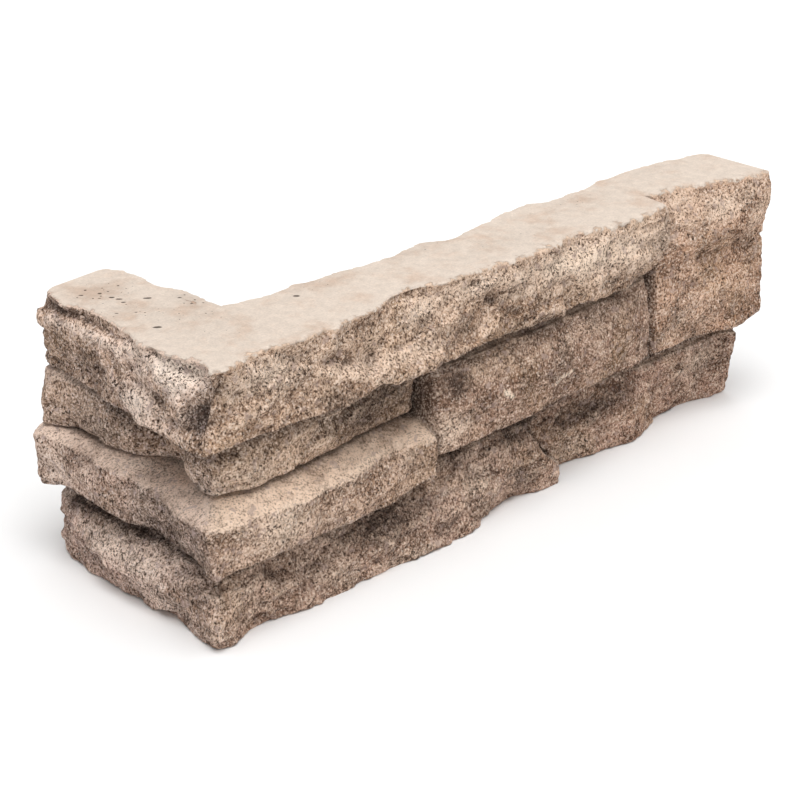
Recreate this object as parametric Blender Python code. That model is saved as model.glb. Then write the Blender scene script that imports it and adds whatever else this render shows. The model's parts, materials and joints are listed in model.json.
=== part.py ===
# Corner piece of cast ledge-stone wall cladding, one solid with an L-shaped plan.
# The two outer faces are a relief of seven stones laid in courses, which turn round the arris.
# Frame while modelling: the arris stands near x = 0, y = 0, the long leg runs along +X and the
# short leg along +Y. Finally the piece is moved so that its bed is centred on the origin.
# Units are metres.

import bpy
import bmesh
import numpy as np
from mathutils import Vector

# Overall sizes
HEIGHT = 0.100
LONG_LEG = 0.2843
SHORT_LEG = 0.0930
LONG_THICKNESS = 0.0374
SHORT_THICKNESS = 0.0355

# Levels of the courses above the bed
SHELF_LEVEL = 0.030
MIDDLE_LEVEL = 0.037
END_LEVEL = 0.036
RECESS_LEVEL = 0.052
CAP_LEVEL = 0.072

# Upright joints, as distances from the arris along the long leg
SHELF_END = 0.098
BASE_END = 0.170
END_START = 0.220

# Joints and edges
JOINT_HALF_WIDTH = 0.0010
JOINT_DEPTH = 0.0035
UNDERCUT = 0.0025
JOINT_SAG = 0.0004
EDGE_ROUND = 0.0018
END_ROUND = 0.0050
END_SKEW = 0.10
END_WORN = 0.0030
END_WORN_HEIGHT = 0.0060
ARRIS_REACH = 0.030
LEAN_REACH = 0.034
BACK_WEAR_HEIGHT = 0.016
INNER_FILLET = 0.003

# Split surface: facets where the stone broke away, their wavy borders, and low swells.
# Both are drawn out along the wall: the stretch is how much closer they lie along x, y and z.
FACET_WIDTH = 0.012
FACET_HEIGHT = 0.00085
FACET_TILT = 0.9
FACET_STEP = 0.55
FACET_EASE = 0.18
BORDER_WAVE_WIDTH = 0.007
BORDER_WAVE = 0.0025
SWELL_WIDTH = 0.015
SWELL_HEIGHT = 0.0009
STRETCH = (0.75, 0.75, 1.3)
SEED = 11

# Fineness of the loft
STATION_STEP = 0.0040
ROWS = 8
END_STEPS = 4

# Every stone is a loft between its own lines, which run along the wall. A line is a list of
# points: distance from the arris, a height, and how far the face stands out from the wall line.
# foot: height over the stone's course level. belly, waist and brow: share of the stone's own
# height. head: drop under the stone above, or under the top of the piece.
# rough: share of the split surface's full relief that the stone has.
CAP = {
    "level": CAP_LEVEL,
    "rough": 1,
    "short": {
        "foot": ((0, 0, 0.006), (0.007, 0, 0.007), (0.016, 0, 0.006), (0.025, 0, 0.005),
                 (0.035, 0, 0.002), (0.041, 0, 0.003), (0.050, 0, 0.003), (0.061, 0, 0),
                 (0.081, 0, -0.0015), (0.088, 0, -0.004)),
        "belly": ((0, 0.28, 0.003), (0.007, 0.20, 0.006), (0.024, 0.16, 0.006), (0.030, 0.22, 0.005),
                  (0.037, 0.36, 0.004), (0.045, 0.42, 0.0025), (0.060, 0.40, 0.001),
                  (0.088, 0.36, -0.001)),
        "brow": ((0, 0.72, 0.0005), (0.006, 0.74, 0), (0.012, 0.74, 0.001), (0.020, 0.76, 0.0035),
                 (0.032, 0.72, 0.003), (0.045, 0.70, 0.002), (0.060, 0.66, 0.0018),
                 (0.088, 0.64, 0.0004)),
        "head": ((0, 0, 0.0005), (0.008, 0, -0.0014), (0.011, 0, 0), (0.017, 0, 0.004),
                 (0.025, 0, 0.004), (0.037, 0, 0.002), (0.046, 0, 0), (0.058, 0, -0.0015),
                 (0.067, 0, -0.001), (0.074, 0, 0.001), (0.083, 0, 0), (0.088, 0, -0.001)),
    },
    "long": {
        "foot": ((0, 0, 0.005), (0.016, 0, 0.005), (0.039, 0, 0.006), (0.050, 0, 0.007),
                 (0.062, 0, 0.006), (0.073, 0, 0.003), (0.081, 0, 0.004), (0.093, 0, 0.006),
                 (0.100, 0, 0.004), (0.115, 0, 0.003), (0.143, 0, 0), (0.158, 0, 0.002), (0.172, 0, 0),
                 (0.194, 0, 0), (0.205, 0, -0.004), (0.220, 0, -0.006)),
        "belly": ((0, 0.28, 0.003), (0.007, 0.30, 0.005), (0.025, 0.42, 0.004), (0.043, 0.46, 0.0045),
                  (0.052, 0.38, 0.0055), (0.060, 0.29, 0.006), (0.069, 0.19, 0.0055),
                  (0.077, 0.13, 0.005), (0.090, 0.14, 0.0065), (0.098, 0.18, 0.0055),
                  (0.115, 0.36, 0.002), (0.130, 0.42, -0.0005), (0.150, 0.40, 0.001),
                  (0.194, 0.42, 0.001), (0.220, 0.42, -0.002)),
        "waist": ((0, 0.52, 0.0035), (0.025, 0.60, 0.0035), (0.040, 0.62, 0.0035), (0.052, 0.55, 0.002),
                  (0.062, 0.46, 0.001), (0.072, 0.42, 0.0005), (0.084, 0.42, 0), (0.098, 0.44, 0.001),
                  (0.112, 0.56, 0.0015), (0.126, 0.60, -0.0015), (0.134, 0.58, -0.003),
                  (0.142, 0.56, -0.0015), (0.155, 0.58, 0.0005), (0.194, 0.58, 0.001),
                  (0.220, 0.58, -0.001)),
        "brow": ((0, 0.72, 0.003), (0.010, 0.75, 0.0045), (0.024, 0.75, 0.0025), (0.040, 0.75, 0.003),
                 (0.060, 0.72, 0.002), (0.086, 0.72, -0.002), (0.120, 0.75, 0), (0.142, 0.75, 0.0005),
                 (0.170, 0.75, -0.001), (0.196, 0.75, 0.0015), (0.220, 0.75, 0)),
        "head": ((0, 0, 0.0046), (0.004, 0, 0.0062), (0.009, 0, 0.0037), (0.016, 0, 0.0007),
                 (0.024, 0, 0.0015), (0.031, 0, 0.004), (0.045, 0, 0.002), (0.073, 0, 0),
                 (0.086, 0, -0.004), (0.100, 0, -0.0027), (0.108, 0, 0.0005), (0.120, 0, -0.0013),
                 (0.142, 0, 0), (0.155, 0, -0.0006), (0.170, 0, -0.0027), (0.184, 0, -0.001),
                 (0.196, 0, 0.001), (0.220, 0, -0.0006)),
    },
}
RECESS = {
    "level": RECESS_LEVEL,
    "rough": 0.7,
    "short": {
        "foot": ((0, 0, -0.004), (0.007, 0, -0.003), (0.013, 0, -0.004), (0.019, 0, -0.007),
                 (0.025, 0, -0.011), (0.035, 0, -0.013), (0.043, 0, -0.008), (0.047, 0, -0.0045),
                 (0.076, 0, -0.003), (0.088, 0, 0.0025)),
        "belly": ((0, 0.5, -0.003), (0.010, 0.5, -0.002), (0.019, 0.5, -0.005), (0.027, 0.5, -0.010),
                  (0.037, 0.5, -0.010), (0.045, 0.5, -0.004), (0.055, 0.5, -0.002),
                  (0.076, 0.5, -0.0015), (0.088, 0.5, 0.0022)),
        "head": ((0, 0.002, -0.004), (0.015, 0.002, -0.004), (0.027, 0.002, -0.008),
                 (0.037, 0.002, -0.008), (0.047, 0.002, -0.004), (0.076, 0.002, -0.002),
                 (0.088, 0.002, -0.0012)),
    },
    "long": {
        "foot": ((0, 0, -0.003), (0.009, 0, -0.002), (0.017, 0, 0), (0.032, 0, -0.001),
                 (0.050, 0, -0.003), (0.069, 0, -0.006), (0.088, 0, -0.008), (0.098, 0, -0.009)),
        "belly": ((0, 0.5, -0.002), (0.017, 0.5, 0.001), (0.032, 0.5, 0.0005), (0.050, 0.5, -0.001),
                  (0.069, 0.5, -0.004), (0.098, 0.5, -0.0075)),
        "head": ((0, 0.002, -0.003), (0.017, 0.002, -0.001), (0.050, 0.002, -0.003),
                 (0.098, 0.002, -0.008)),
    },
}
SHELF = {
    "level": SHELF_LEVEL,
    "rough": 0.5,
    "short": {
        "foot": ((0, -0.0015, 0.005), (0.005, -0.001, 0.003), (0.013, -0.0005, 0.0005),
                 (0.029, 0.001, 0), (0.036, 0.002, 0.003), (0.041, 0.002, 0.005),
                 (0.074, 0.002, 0.0045), (0.088, 0.0005, 0.0058)),
        "belly": ((0, 0.5, 0.0055), (0.010, 0.5, 0.004), (0.025, 0.5, 0.002), (0.038, 0.5, 0.0025),
                  (0.055, 0.5, 0.0045), (0.075, 0.5, 0.0045), (0.088, 0.5, 0.007)),
        "head": ((0, 0.006, 0.0055), (0.014, 0.006, 0.0045), (0.024, 0.005, 0.002), (0.033, 0.005, 0),
                 (0.040, 0.005, 0), (0.046, 0.004, 0.0025), (0.054, 0.004, 0.0035),
                 (0.063, 0.004, 0.001), (0.072, 0.003, 0.003), (0.080, 0.003, 0.003),
                 (0.088, 0.002, 0.0068)),
    },
    "long": {
        "foot": ((0, -0.0015, 0.0065), (0.010, -0.0017, 0.0055), (0.070, -0.002, 0.0055),
                 (0.086, 0, 0.0045), (0.098, 0.001, 0.0045)),
        "belly": ((0, 0.5, 0.006), (0.020, 0.5, 0.007), (0.034, 0.5, 0.0075), (0.050, 0.5, 0.006),
                  (0.075, 0.5, 0.0045), (0.098, 0.5, 0.0055)),
        "head": ((0, 0.006, 0.004), (0.008, 0.006, 0.0065), (0.018, 0.006, 0.006),
                 (0.034, 0.0065, 0.0085), (0.044, 0.0065, 0.006), (0.056, 0.0065, 0.005),
                 (0.066, 0.0065, 0.003), (0.074, 0.006, 0.001), (0.084, 0.006, 0.001),
                 (0.091, 0.0065, 0.004), (0.098, 0.006, 0.005)),
    },
}
BASE = {
    "level": 0,
    "rough": 0.9,
    "short": {
        "foot": ((0, 0, 0.001), (0.004, 0, 0.0016), (0.014, 0, 0.0008), (0.025, 0, -0.0019),
                 (0.040, 0, -0.0022), (0.052, 0, -0.0004), (0.076, 0, -0.0009), (0.088, 0, -0.002)),
        "belly": ((0, 0.45, 0.002), (0.015, 0.50, 0.0015), (0.030, 0.52, 0.0035), (0.045, 0.54, 0.0045),
                  (0.060, 0.56, 0.0035), (0.075, 0.60, 0.0002), (0.088, 0.62, -0.0032)),
        "head": ((0, 0.005, -0.003), (0.015, 0.005, -0.004), (0.035, 0.006, -0.004),
                 (0.060, 0.007, -0.0025), (0.088, 0.0075, -0.0032)),
    },
    "long": {
        "foot": ((0, 0, 0.0014), (0.005, 0, 0.0028), (0.016, 0, -0.0002), (0.028, 0, -0.0008),
                 (0.037, 0, 0.001), (0.056, 0, 0.0032), (0.064, 0, 0.0013), (0.092, 0, 0.0028),
                 (0.118, 0, 0.0008), (0.130, 0, -0.0033), (0.146, 0, -0.0068), (0.158, 0, -0.0036),
                 (0.170, 0, -0.002)),
        "belly": ((0, 0.45, 0.003), (0.020, 0.45, 0.0005), (0.040, 0.35, 0.001), (0.063, 0.35, 0.002),
                  (0.098, 0.42, 0.001), (0.118, 0.42, 0), (0.135, 0.42, -0.002), (0.170, 0.36, -0.004)),
        "head": ((0, 0.005, -0.003), (0.040, 0.005, -0.004), (0.098, 0.006, -0.005),
                 (0.170, 0.006, -0.008)),
    },
}
MIDDLE = {
    "level": MIDDLE_LEVEL,
    "rough": 0.6,
    "long": {
        "foot": ((0.098, 0, 0.002), (0.103, 0, 0.003), (0.150, 0, 0.0025), (0.160, 0, 0),
                 (0.185, 0, -0.001), (0.210, 0, -0.002), (0.220, 0, -0.005)),
        "belly": ((0.098, 0.5, 0), (0.103, 0.5, 0.003), (0.125, 0.5, 0.0045), (0.150, 0.5, 0.004),
                  (0.175, 0.5, 0.002), (0.200, 0.5, 0), (0.213, 0.5, -0.003), (0.220, 0.5, -0.006)),
        "head": ((0.098, 0.003, -0.004), (0.106, 0.003, -0.001), (0.150, 0.003, -0.001),
                 (0.180, 0.003, -0.003), (0.205, 0.003, -0.006), (0.220, 0.003, -0.008)),
    },
}
BASE_CLOSER = {
    "level": 0,
    "rough": 0.9,
    "long": {
        "foot": ((0.170, 0, -0.0128), (0.182, 0, -0.0132), (0.195, 0, -0.0113), (0.208, 0, -0.0098),
                 (0.219, 0, -0.007), (0.239, 0, -0.0156), (0.254, 0, -0.0162), (0.266, 0, -0.0157),
                 (0.277, 0, -0.0126), (0.2843, 0, -0.0133)),
        "belly": ((0.170, 0.50, -0.012), (0.195, 0.55, -0.011), (0.219, 0.55, -0.008),
                  (0.240, 0.55, -0.013), (0.266, 0.50, -0.014), (0.2843, 0.45, -0.0108)),
        "head": ((0.170, 0.006, -0.012), (0.217, 0.006, -0.011), (0.270, 0.007, -0.011),
                 (0.2843, 0.011, -0.0084)),
    },
}
END = {
    "level": END_LEVEL,
    "rough": 0.55,
    "long": {
        "foot": ((0.220, 0, -0.005), (0.248, 0, -0.006), (0.260, 0.0005, -0.003),
                 (0.271, 0.0015, 0.0008), (0.279, 0.003, 0.0013), (0.2843, 0.004, 0.0016)),
        "belly": ((0.220, 0.28, -0.006), (0.226, 0.28, -0.003), (0.245, 0.28, -0.002),
                  (0.265, 0.28, 0.0005), (0.2843, 0.25, 0.001)),
        "waist": ((0.220, 0.54, -0.006), (0.226, 0.54, -0.005), (0.245, 0.55, -0.003),
                  (0.265, 0.55, -0.001), (0.2843, 0.60, 0)),
        "brow": ((0.220, 0.72, -0.009), (0.233, 0.68, -0.003), (0.245, 0.67, 0), (0.260, 0.66, 0.0015),
                 (0.272, 0.67, 0.002), (0.2843, 0.80, 0.002)),
        "head": ((0.220, 0, -0.0115), (0.240, 0, -0.0123), (0.250, 0, -0.009), (0.261, 0, -0.005),
                 (0.272, 0, -0.0015), (0.2843, 0, 0.0013)),
    },
}

# How far the upright joints lean out of plumb: height, shift along the wall
BASE_END_LEAN = ((0, 0.002), (0.009, 0.002), (0.013, -0.004), (0.017, -0.008), (0.022, -0.011),
                 (0.027, -0.014), (0.040, 0), (0.100, 0))
END_START_LEAN = ((0, 0), (0.030, 0.001), (0.036, 0.004), (0.054, 0.0035), (0.070, 0.003),
                  (0.075, 0.005), (0.084, 0.010), (0.091, 0.008), (0.100, 0.0045))

# Wear of the top edge at the back: distance along the back, how far the edge is worn away
LONG_WEAR = ((0.037, 0.0015), (0.045, 0.004), (0.061, 0.0045), (0.067, 0.0035), (0.075, 0.0045),
             (0.088, 0.005), (0.106, 0.0065), (0.114, 0.0045), (0.124, 0.0035), (0.137, 0.008),
             (0.147, 0.006), (0.160, 0.0035), (0.172, 0.0015), (0.184, 0.0005), (0.192, 0.0035),
             (0.216, 0.0025), (0.231, 0), (0.250, 0), (0.270, 0.003), (0.281, 0.0045), (0.2843, 0.008))
SHORT_WEAR = ((0.038, 0), (0.050, 0), (0.058, 0.001), (0.065, 0.004), (0.076, 0.0025), (0.081, 0.004),
              (0.085, 0.0035), (0.089, 0.006))


def flow(points, at):
    """Smooth curve through (position, value) points, held level beyond both ends."""
    xs = np.array([p[0] for p in points], float)
    ys = np.array([p[1] for p in points], float)
    if len(xs) < 3:
        return np.interp(at, xs, ys)
    slopes = np.gradient(ys, xs)
    rises = np.diff(ys) / np.diff(xs)
    # No overshoot: the slope is nought where the points turn, and at most three times the rise
    slopes[1:-1] = np.where(rises[:-1] * rises[1:] <= 0, 0, slopes[1:-1])
    limit = 3 * np.minimum(np.abs(np.append(rises[0], rises)), np.abs(np.append(rises, rises[-1])))
    slopes = np.clip(slopes, -limit, limit)
    at = np.clip(at, xs[0], xs[-1])
    i = np.clip(np.searchsorted(xs, at, side="right") - 1, 0, len(xs) - 2)
    width = xs[i + 1] - xs[i]
    t = (at - xs[i]) / width
    return (ys[i] * (1 + 2 * t) * (1 - t) ** 2 + ys[i + 1] * t * t * (3 - 2 * t)
            + width * (slopes[i] * t * (1 - t) ** 2 - slopes[i + 1] * t * t * (1 - t)))


def read(line, column, along):
    """Value of one column of a stone's line at a distance along the wall."""
    return float(flow([(p[0], p[column]) for p in line], along))


def noise(points, width, seed):
    """Smooth noise at points of a grid: random values on a cubic lattice, blended by an ease curve."""
    values = np.random.RandomState(seed).rand(32, 32, 32) * 2 - 1
    base = np.floor(points / width).astype(int)
    ease = points / width - base
    ease = ease ** 3 * (ease * (ease * 6 - 15) + 10)
    total = 0.0
    for step in np.ndindex(2, 2, 2):
        i, j, k = np.moveaxis((base + np.array(step)) % 32, -1, 0)
        total = total + np.prod(np.where(step, ease, 1 - ease), -1) * values[i, j, k]
    return total


def facets(points, width, seed):
    """Split facets: every lattice cell has a stray centre with a tilted plane of its own, and a
    point takes the plane of its nearest centre, eased towards the second nearest at the border."""
    rng = np.random.RandomState(seed)
    centres = rng.rand(16, 16, 16, 3)
    planes = rng.randn(16, 16, 16, 4)
    base = np.floor(points / width).astype(int)
    nearest = second = np.full(points.shape[:-1], 9.0)
    height = other = np.zeros(points.shape[:-1])
    for step in np.ndindex(3, 3, 3):
        cell = base + np.array(step) - 1
        i, j, k = np.moveaxis(cell % 16, -1, 0)
        away = points / width - cell - centres[i, j, k]
        far = np.linalg.norm(away, axis=-1)
        plane = planes[i, j, k]
        here = FACET_STEP * plane[..., 3] + FACET_TILT * (away * plane[..., :3]).sum(-1)
        closer = far < nearest
        between = ~closer & (far < second)
        second = np.where(closer, nearest, np.where(between, far, second))
        other = np.where(closer, height, np.where(between, here, other))
        nearest = np.where(closer, far, nearest)
        height = np.where(closer, here, height)
    ease = np.clip((second - nearest) / FACET_EASE, 0, 1)
    return height * (1 + ease) / 2 + other * (1 - ease) / 2


def split_surface(wall):
    """How far the split surface stands out at each point of the wall, on a stone of full relief."""
    # Each layer of noise has a seed of its own
    drawn = wall * np.array(STRETCH)
    waves = [noise(wall, BORDER_WAVE_WIDTH, SEED + 20 + k) for k in range(3)]
    swells = noise(drawn, SWELL_WIDTH, SEED + 5) + noise(drawn, SWELL_WIDTH / 2, SEED + 6) / 2
    chips = facets(drawn + BORDER_WAVE * np.stack(waves, -1), FACET_WIDTH, SEED)
    return FACET_HEIGHT * chips + SWELL_HEIGHT * swells


def stone_face(stone, leg, along, above, rows):
    """Heights and offsets of one stone's face, from its foot up to its head."""
    lines = stone[leg]
    foot = stone["level"] + read(lines["foot"], 1, along)
    head = above - read(lines["head"], 1, along)
    shares = [(0, read(lines["foot"], 2, along))]
    for name in ("belly", "waist", "brow"):
        if name in lines:
            shares.append((read(lines[name], 1, along), read(lines[name], 2, along)))
    shares.append((1, read(lines["head"], 2, along)))
    edge = EDGE_ROUND / (head - foot)
    share = np.concatenate(([0, edge], np.linspace(edge, 1 - edge, rows - 2)[1:-1], [1 - edge, 1]))
    offset = flow(shares, share)
    offset[0] -= EDGE_ROUND / 2
    offset[-1] -= EDGE_ROUND / 2
    return foot + (head - foot) * share, offset


def column_profile(stack, leg, along):
    """Profile of the whole wall face at one place: the stones of a stack and the joints between."""
    heights = []
    offsets = []
    stones = [s for s, before in zip(stack, (None, *stack)) if s is not before]
    levels = [s["level"] + read(s[leg]["foot"], 1, along) for s in stones] + [HEIGHT]
    for stone, above in zip(stones, levels[1:]):
        # A stone that fills more than one course takes their rows and those of the joints between
        courses = sum(s is stone for s in stack)
        z, o = stone_face(stone, leg, along, above, courses * ROWS + courses - 1)
        if heights:
            # The joint's back lies just under the foot of this stone
            heights.append(np.array([z[0] - JOINT_SAG]))
            offsets.append(np.array([min(o[0], offsets[-1][-1]) - UNDERCUT]))
        heights.append(z)
        offsets.append(o)
    return np.concatenate(heights), np.concatenate(offsets)


# Stacks of stones along the wall, from the bed up: the stone in each of the four courses
CORNER_STACK = (BASE, SHELF, RECESS, CAP)
MIDDLE_STACK = (BASE, MIDDLE, MIDDLE, CAP)
CLOSER_STACK = (BASE_CLOSER, MIDDLE, MIDDLE, CAP)
END_STACK = (BASE_CLOSER, END, END, END)


def row_stones(stack):
    """The stone that each row of a profile lies on. A joint's row goes with the stone below it."""
    return [stone for stone in stack for row in range(ROWS + 1)][:-1]


def row_roughness(stack):
    """Share of the split surface's relief on each row of a profile."""
    return np.array([stone["rough"] for stone in row_stones(stack)])


def joint_profile(before, after, along):
    """Profile in an upright joint: the deeper of its two stones, and deeper still between them."""
    z0, o0 = column_profile(before, "long", along)
    z1, o1 = column_profile(after, "long", along)
    parted = np.array([a is not b for a, b in zip(row_stones(before), row_stones(after))])
    return (z0 + z1) / 2, np.minimum(o0, o1) - JOINT_DEPTH * parted


def stations(start, end):
    """Evenly spaced distances between two places on the wall, both included."""
    return np.linspace(start, end, max(2, int(np.ceil((end - start) / STATION_STEP)) + 1))


def long_columns():
    """Distances, profiles and roughness along the long leg, from the arris to the flat end."""
    columns = []
    begin = 0.0
    spans = ((CORNER_STACK, SHELF_END), (MIDDLE_STACK, BASE_END), (CLOSER_STACK, END_START),
             (END_STACK, LONG_LEG))
    for i, (stack, finish) in enumerate(spans):
        last = i == len(spans) - 1
        for along in stations(begin, finish if last else finish - JOINT_HALF_WIDTH):
            columns.append((along, *column_profile(stack, "long", along), row_roughness(stack)))
        if not last:
            columns.append((finish, *joint_profile(stack, spans[i + 1][0], finish), row_roughness(stack)))
        begin = finish + JOINT_HALF_WIDTH
    return columns


def short_columns():
    """Distances, profiles and insets of the rounded end along the short leg, from the arris."""
    columns = []
    for along in stations(0, SHORT_LEG - END_ROUND):
        columns.append((along, *column_profile(CORNER_STACK, "short", along), 0.0))
    for turn in np.linspace(0, np.pi / 2, END_STEPS + 1)[1:]:
        along = SHORT_LEG - END_ROUND * (1 - np.sin(turn))
        z, o = column_profile(CORNER_STACK, "short", along)
        columns.append((along, z, o, END_ROUND * (1 - np.cos(turn))))
    return columns


def lean(along, z):
    """Shift along the wall that gives the upright joints their slant."""
    shift = np.zeros_like(z)
    for place, path in ((BASE_END, BASE_END_LEAN), (END_START, END_START_LEAN)):
        near = max(0.0, 1 - abs(along - place) / LEAN_REACH)
        shift += near * np.interp(z, [p[0] for p in path], [p[1] for p in path])
    return shift


def back_profile(depth, wear):
    """Points of the back from the top down: the worn top edge, then the flat back to the bed."""
    drop = np.array([0, 0.25, 1.0])
    z = np.append(HEIGHT - BACK_WEAR_HEIGHT * drop, 0)
    back = depth - wear * np.append((1 - drop) ** 1.5, 0)
    return z, back


def split(wall, rough):
    """Move the points of a wall level, in or out, by the relief of its split surface."""
    out = np.cross(np.gradient(wall, axis=0), np.gradient(wall, axis=1))
    out /= np.linalg.norm(out, axis=2, keepdims=True)
    # Bed, top and the flat end of the long leg stay in their planes
    out[..., 2] = 0
    out[-1, :, 0] = 0
    return wall + out * (split_surface(wall) * rough)[..., None]


def make_rings():
    """Closed section rings along the wall, from the short leg's end to the long leg's end."""
    long_cols = long_columns()
    short_cols = short_columns()
    arris_short = short_cols[0][2]
    arris_long = long_cols[0][2]
    walls = []
    backs = []
    rough = []
    for along, z, offset, inset in reversed(short_cols[1:]):
        fade = max(0.0, 1 - along / ARRIS_REACH) ** 2
        back_along = LONG_THICKNESS + along * (SHORT_LEG - LONG_THICKNESS) / SHORT_LEG
        back_z, back = back_profile(SHORT_THICKNESS - inset, float(flow(SHORT_WEAR, back_along)))
        wall = np.stack([inset - offset, along - arris_long * fade, z], 1)
        back = np.stack([back, np.full(len(back), back_along), back_z], 1)
        # The rounded end stands a little askew, and its top and bottom edges are worn
        for x, y, z in (wall.T, back.T):
            edge = np.maximum(0, 1 - np.minimum(z, HEIGHT - z) / END_WORN_HEIGHT) ** 2
            y += (END_SKEW * (x - SHORT_THICKNESS / 2) - END_WORN * edge) * (along / SHORT_LEG) ** 6
        walls.append(wall)
        backs.append(back)
        rough.append(row_roughness(CORNER_STACK))
    for along, z, offset, roughness in long_cols:
        fade = max(0.0, 1 - along / ARRIS_REACH) ** 2
        settle = min(1.0, (LONG_LEG - along) / STATION_STEP)
        run = along - arris_short * fade + lean(along, z) * settle
        back_along = SHORT_THICKNESS + along * (LONG_LEG - SHORT_THICKNESS) / LONG_LEG
        back_z, back = back_profile(LONG_THICKNESS, float(flow(LONG_WEAR, back_along)))
        walls.append(np.stack([run, -offset, z], 1))
        backs.append(np.stack([np.full(len(back), back_along), back, back_z], 1))
        rough.append(roughness)
    # The inner corner of the back keeps a small fillet
    corner = len(short_cols) - 1
    backs[corner][:, :2] += INNER_FILLET / 4
    return np.concatenate([split(np.array(walls), np.array(rough)), backs], 1)


def stone_material():
    """Cast stone: a cement and aggregate mix coloured as buff and grey sandstone, matt."""
    material = bpy.data.materials.new("cast_stone")
    material.use_nodes = True
    shader = material.node_tree.nodes["Principled BSDF"]
    shader.inputs["Base Color"].default_value = (0.42, 0.33, 0.25, 1)
    shader.inputs["Roughness"].default_value = 0.92
    shader.inputs["Metallic"].default_value = 0.0
    return material


def make_corner():
    """Skin the rings into one closed solid and set it with its bed centred on the origin."""
    mesh = bpy.data.meshes.new("cladding_corner")
    bm = bmesh.new()
    loops = []
    for ring in make_rings():
        loops.append([bm.verts.new(p) for p in ring])
    for a, b in zip(loops, loops[1:]):
        for i in range(len(a)):
            j = (i + 1) % len(a)
            bm.faces.new((a[i], b[i], b[j], a[j]))
    bm.faces.new(loops[0])
    bm.faces.new(reversed(loops[-1]))
    bmesh.ops.triangulate(bm, faces=bm.faces[:])
    bmesh.ops.recalc_face_normals(bm, faces=bm.faces[:])
    low = Vector([min(v.co[i] for v in bm.verts) for i in range(3)])
    high = Vector([max(v.co[i] for v in bm.verts) for i in range(3)])
    middle = (low + high) / 2
    bmesh.ops.translate(bm, verts=bm.verts[:], vec=(-middle.x, -middle.y, -low.z))
    bm.to_mesh(mesh)
    bm.free()
    mesh.materials.append(stone_material())
    corner = bpy.data.objects.new("cladding_corner", mesh)
    bpy.context.scene.collection.objects.link(corner)
    return corner


for old in list(bpy.data.objects):
    bpy.data.objects.remove(old, do_unlink=True)
make_corner()
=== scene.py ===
# Looks of the ledge-stone cladding corner: the fine split faces, the cast stone's finish,
# the floor, the light and the camera. Lengths in the dictionaries are millimetres.
import json
import math

import bpy
import numpy as np
from mathutils import Matrix, Vector


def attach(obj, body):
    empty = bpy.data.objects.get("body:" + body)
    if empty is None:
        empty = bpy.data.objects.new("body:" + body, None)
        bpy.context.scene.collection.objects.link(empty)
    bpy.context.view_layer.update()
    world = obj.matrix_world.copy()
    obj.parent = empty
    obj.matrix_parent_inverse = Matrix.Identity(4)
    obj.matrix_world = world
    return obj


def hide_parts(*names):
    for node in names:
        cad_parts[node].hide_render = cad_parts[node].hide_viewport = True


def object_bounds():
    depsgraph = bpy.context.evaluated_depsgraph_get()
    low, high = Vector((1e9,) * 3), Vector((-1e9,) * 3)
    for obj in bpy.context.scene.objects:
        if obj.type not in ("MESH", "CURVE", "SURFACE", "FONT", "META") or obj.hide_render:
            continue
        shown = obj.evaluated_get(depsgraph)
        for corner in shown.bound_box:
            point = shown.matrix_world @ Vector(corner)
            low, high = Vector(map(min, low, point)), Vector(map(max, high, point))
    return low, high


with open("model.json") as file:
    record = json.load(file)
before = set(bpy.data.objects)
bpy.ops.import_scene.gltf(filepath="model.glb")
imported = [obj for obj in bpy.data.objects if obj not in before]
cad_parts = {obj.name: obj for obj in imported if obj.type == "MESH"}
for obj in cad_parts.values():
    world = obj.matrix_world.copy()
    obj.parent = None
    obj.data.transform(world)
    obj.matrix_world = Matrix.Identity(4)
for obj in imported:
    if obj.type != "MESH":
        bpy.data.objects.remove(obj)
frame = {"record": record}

cadBox = [list(corner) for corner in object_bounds()]
mm = 0.001
print("frame loaded")

# what sets the whole piece: sizes as the solid has them, and how fine the surface is
corner = {
    "height": 100.0,
    "longLeg": 284.3,
    "shortLeg": 93.0,
    "longThickness": 37.4,
    "shortThickness": 35.5,
    "shelfEnd": 98.0,       # upright joints, along the long leg
    "baseEnd": 170.0,
    "endStart": 220.0,
    "jointHalf": 1.1,
    "jointDepth": 3.0,
    "jointDrop": 0.4,       # a level joint is deepest this far under the stone above
    "ledgeBow": 0.5,
    "undercut": 2.5,
    "jointRound": 1.4,
    "endRound": 5.0,
    "endSkew": 0.10,
    "endWorn": 3.0,
    "endWornHeight": 6.0,
    "endInset": 18.0,       # an end's middle line stops this far from the top and the bed
    "endBump": (9.0, 1.1),  # width and height of the rough end's humps
    "endSunk": 1.0,
    "arrisReach": 30.0,
    "arrisRound": 1.2,
    "rimRound": 0.9,        # where a stone meets the bed or the top
    "leanReach": 34.0,
    "backWearHeight": 16.0,
    "backNibble": (5.0, 0.55),
    "spacing": 0.84,        # between columns of the grid
    "courseRows": (38, 29, 27, 45),
    "jointRows": ((5, 5), (11, 3), (3, 7)),
    "backRows": 11,
    "acrossRows": 8,
    "endShares": (0.12, 0.35, 0.6, 0.85),
    "wornSkin": (0.7, 0.3, 0.4, 0.8),   # what is left of the skin down the worn back edge
    "lipSkin": 0.55,        # the most skin that runs over the lip
    "warmthReach": 6.0,     # along the wall at the arris, from the short leg's painted cooler light to the long leg's warmer light
}

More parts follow.
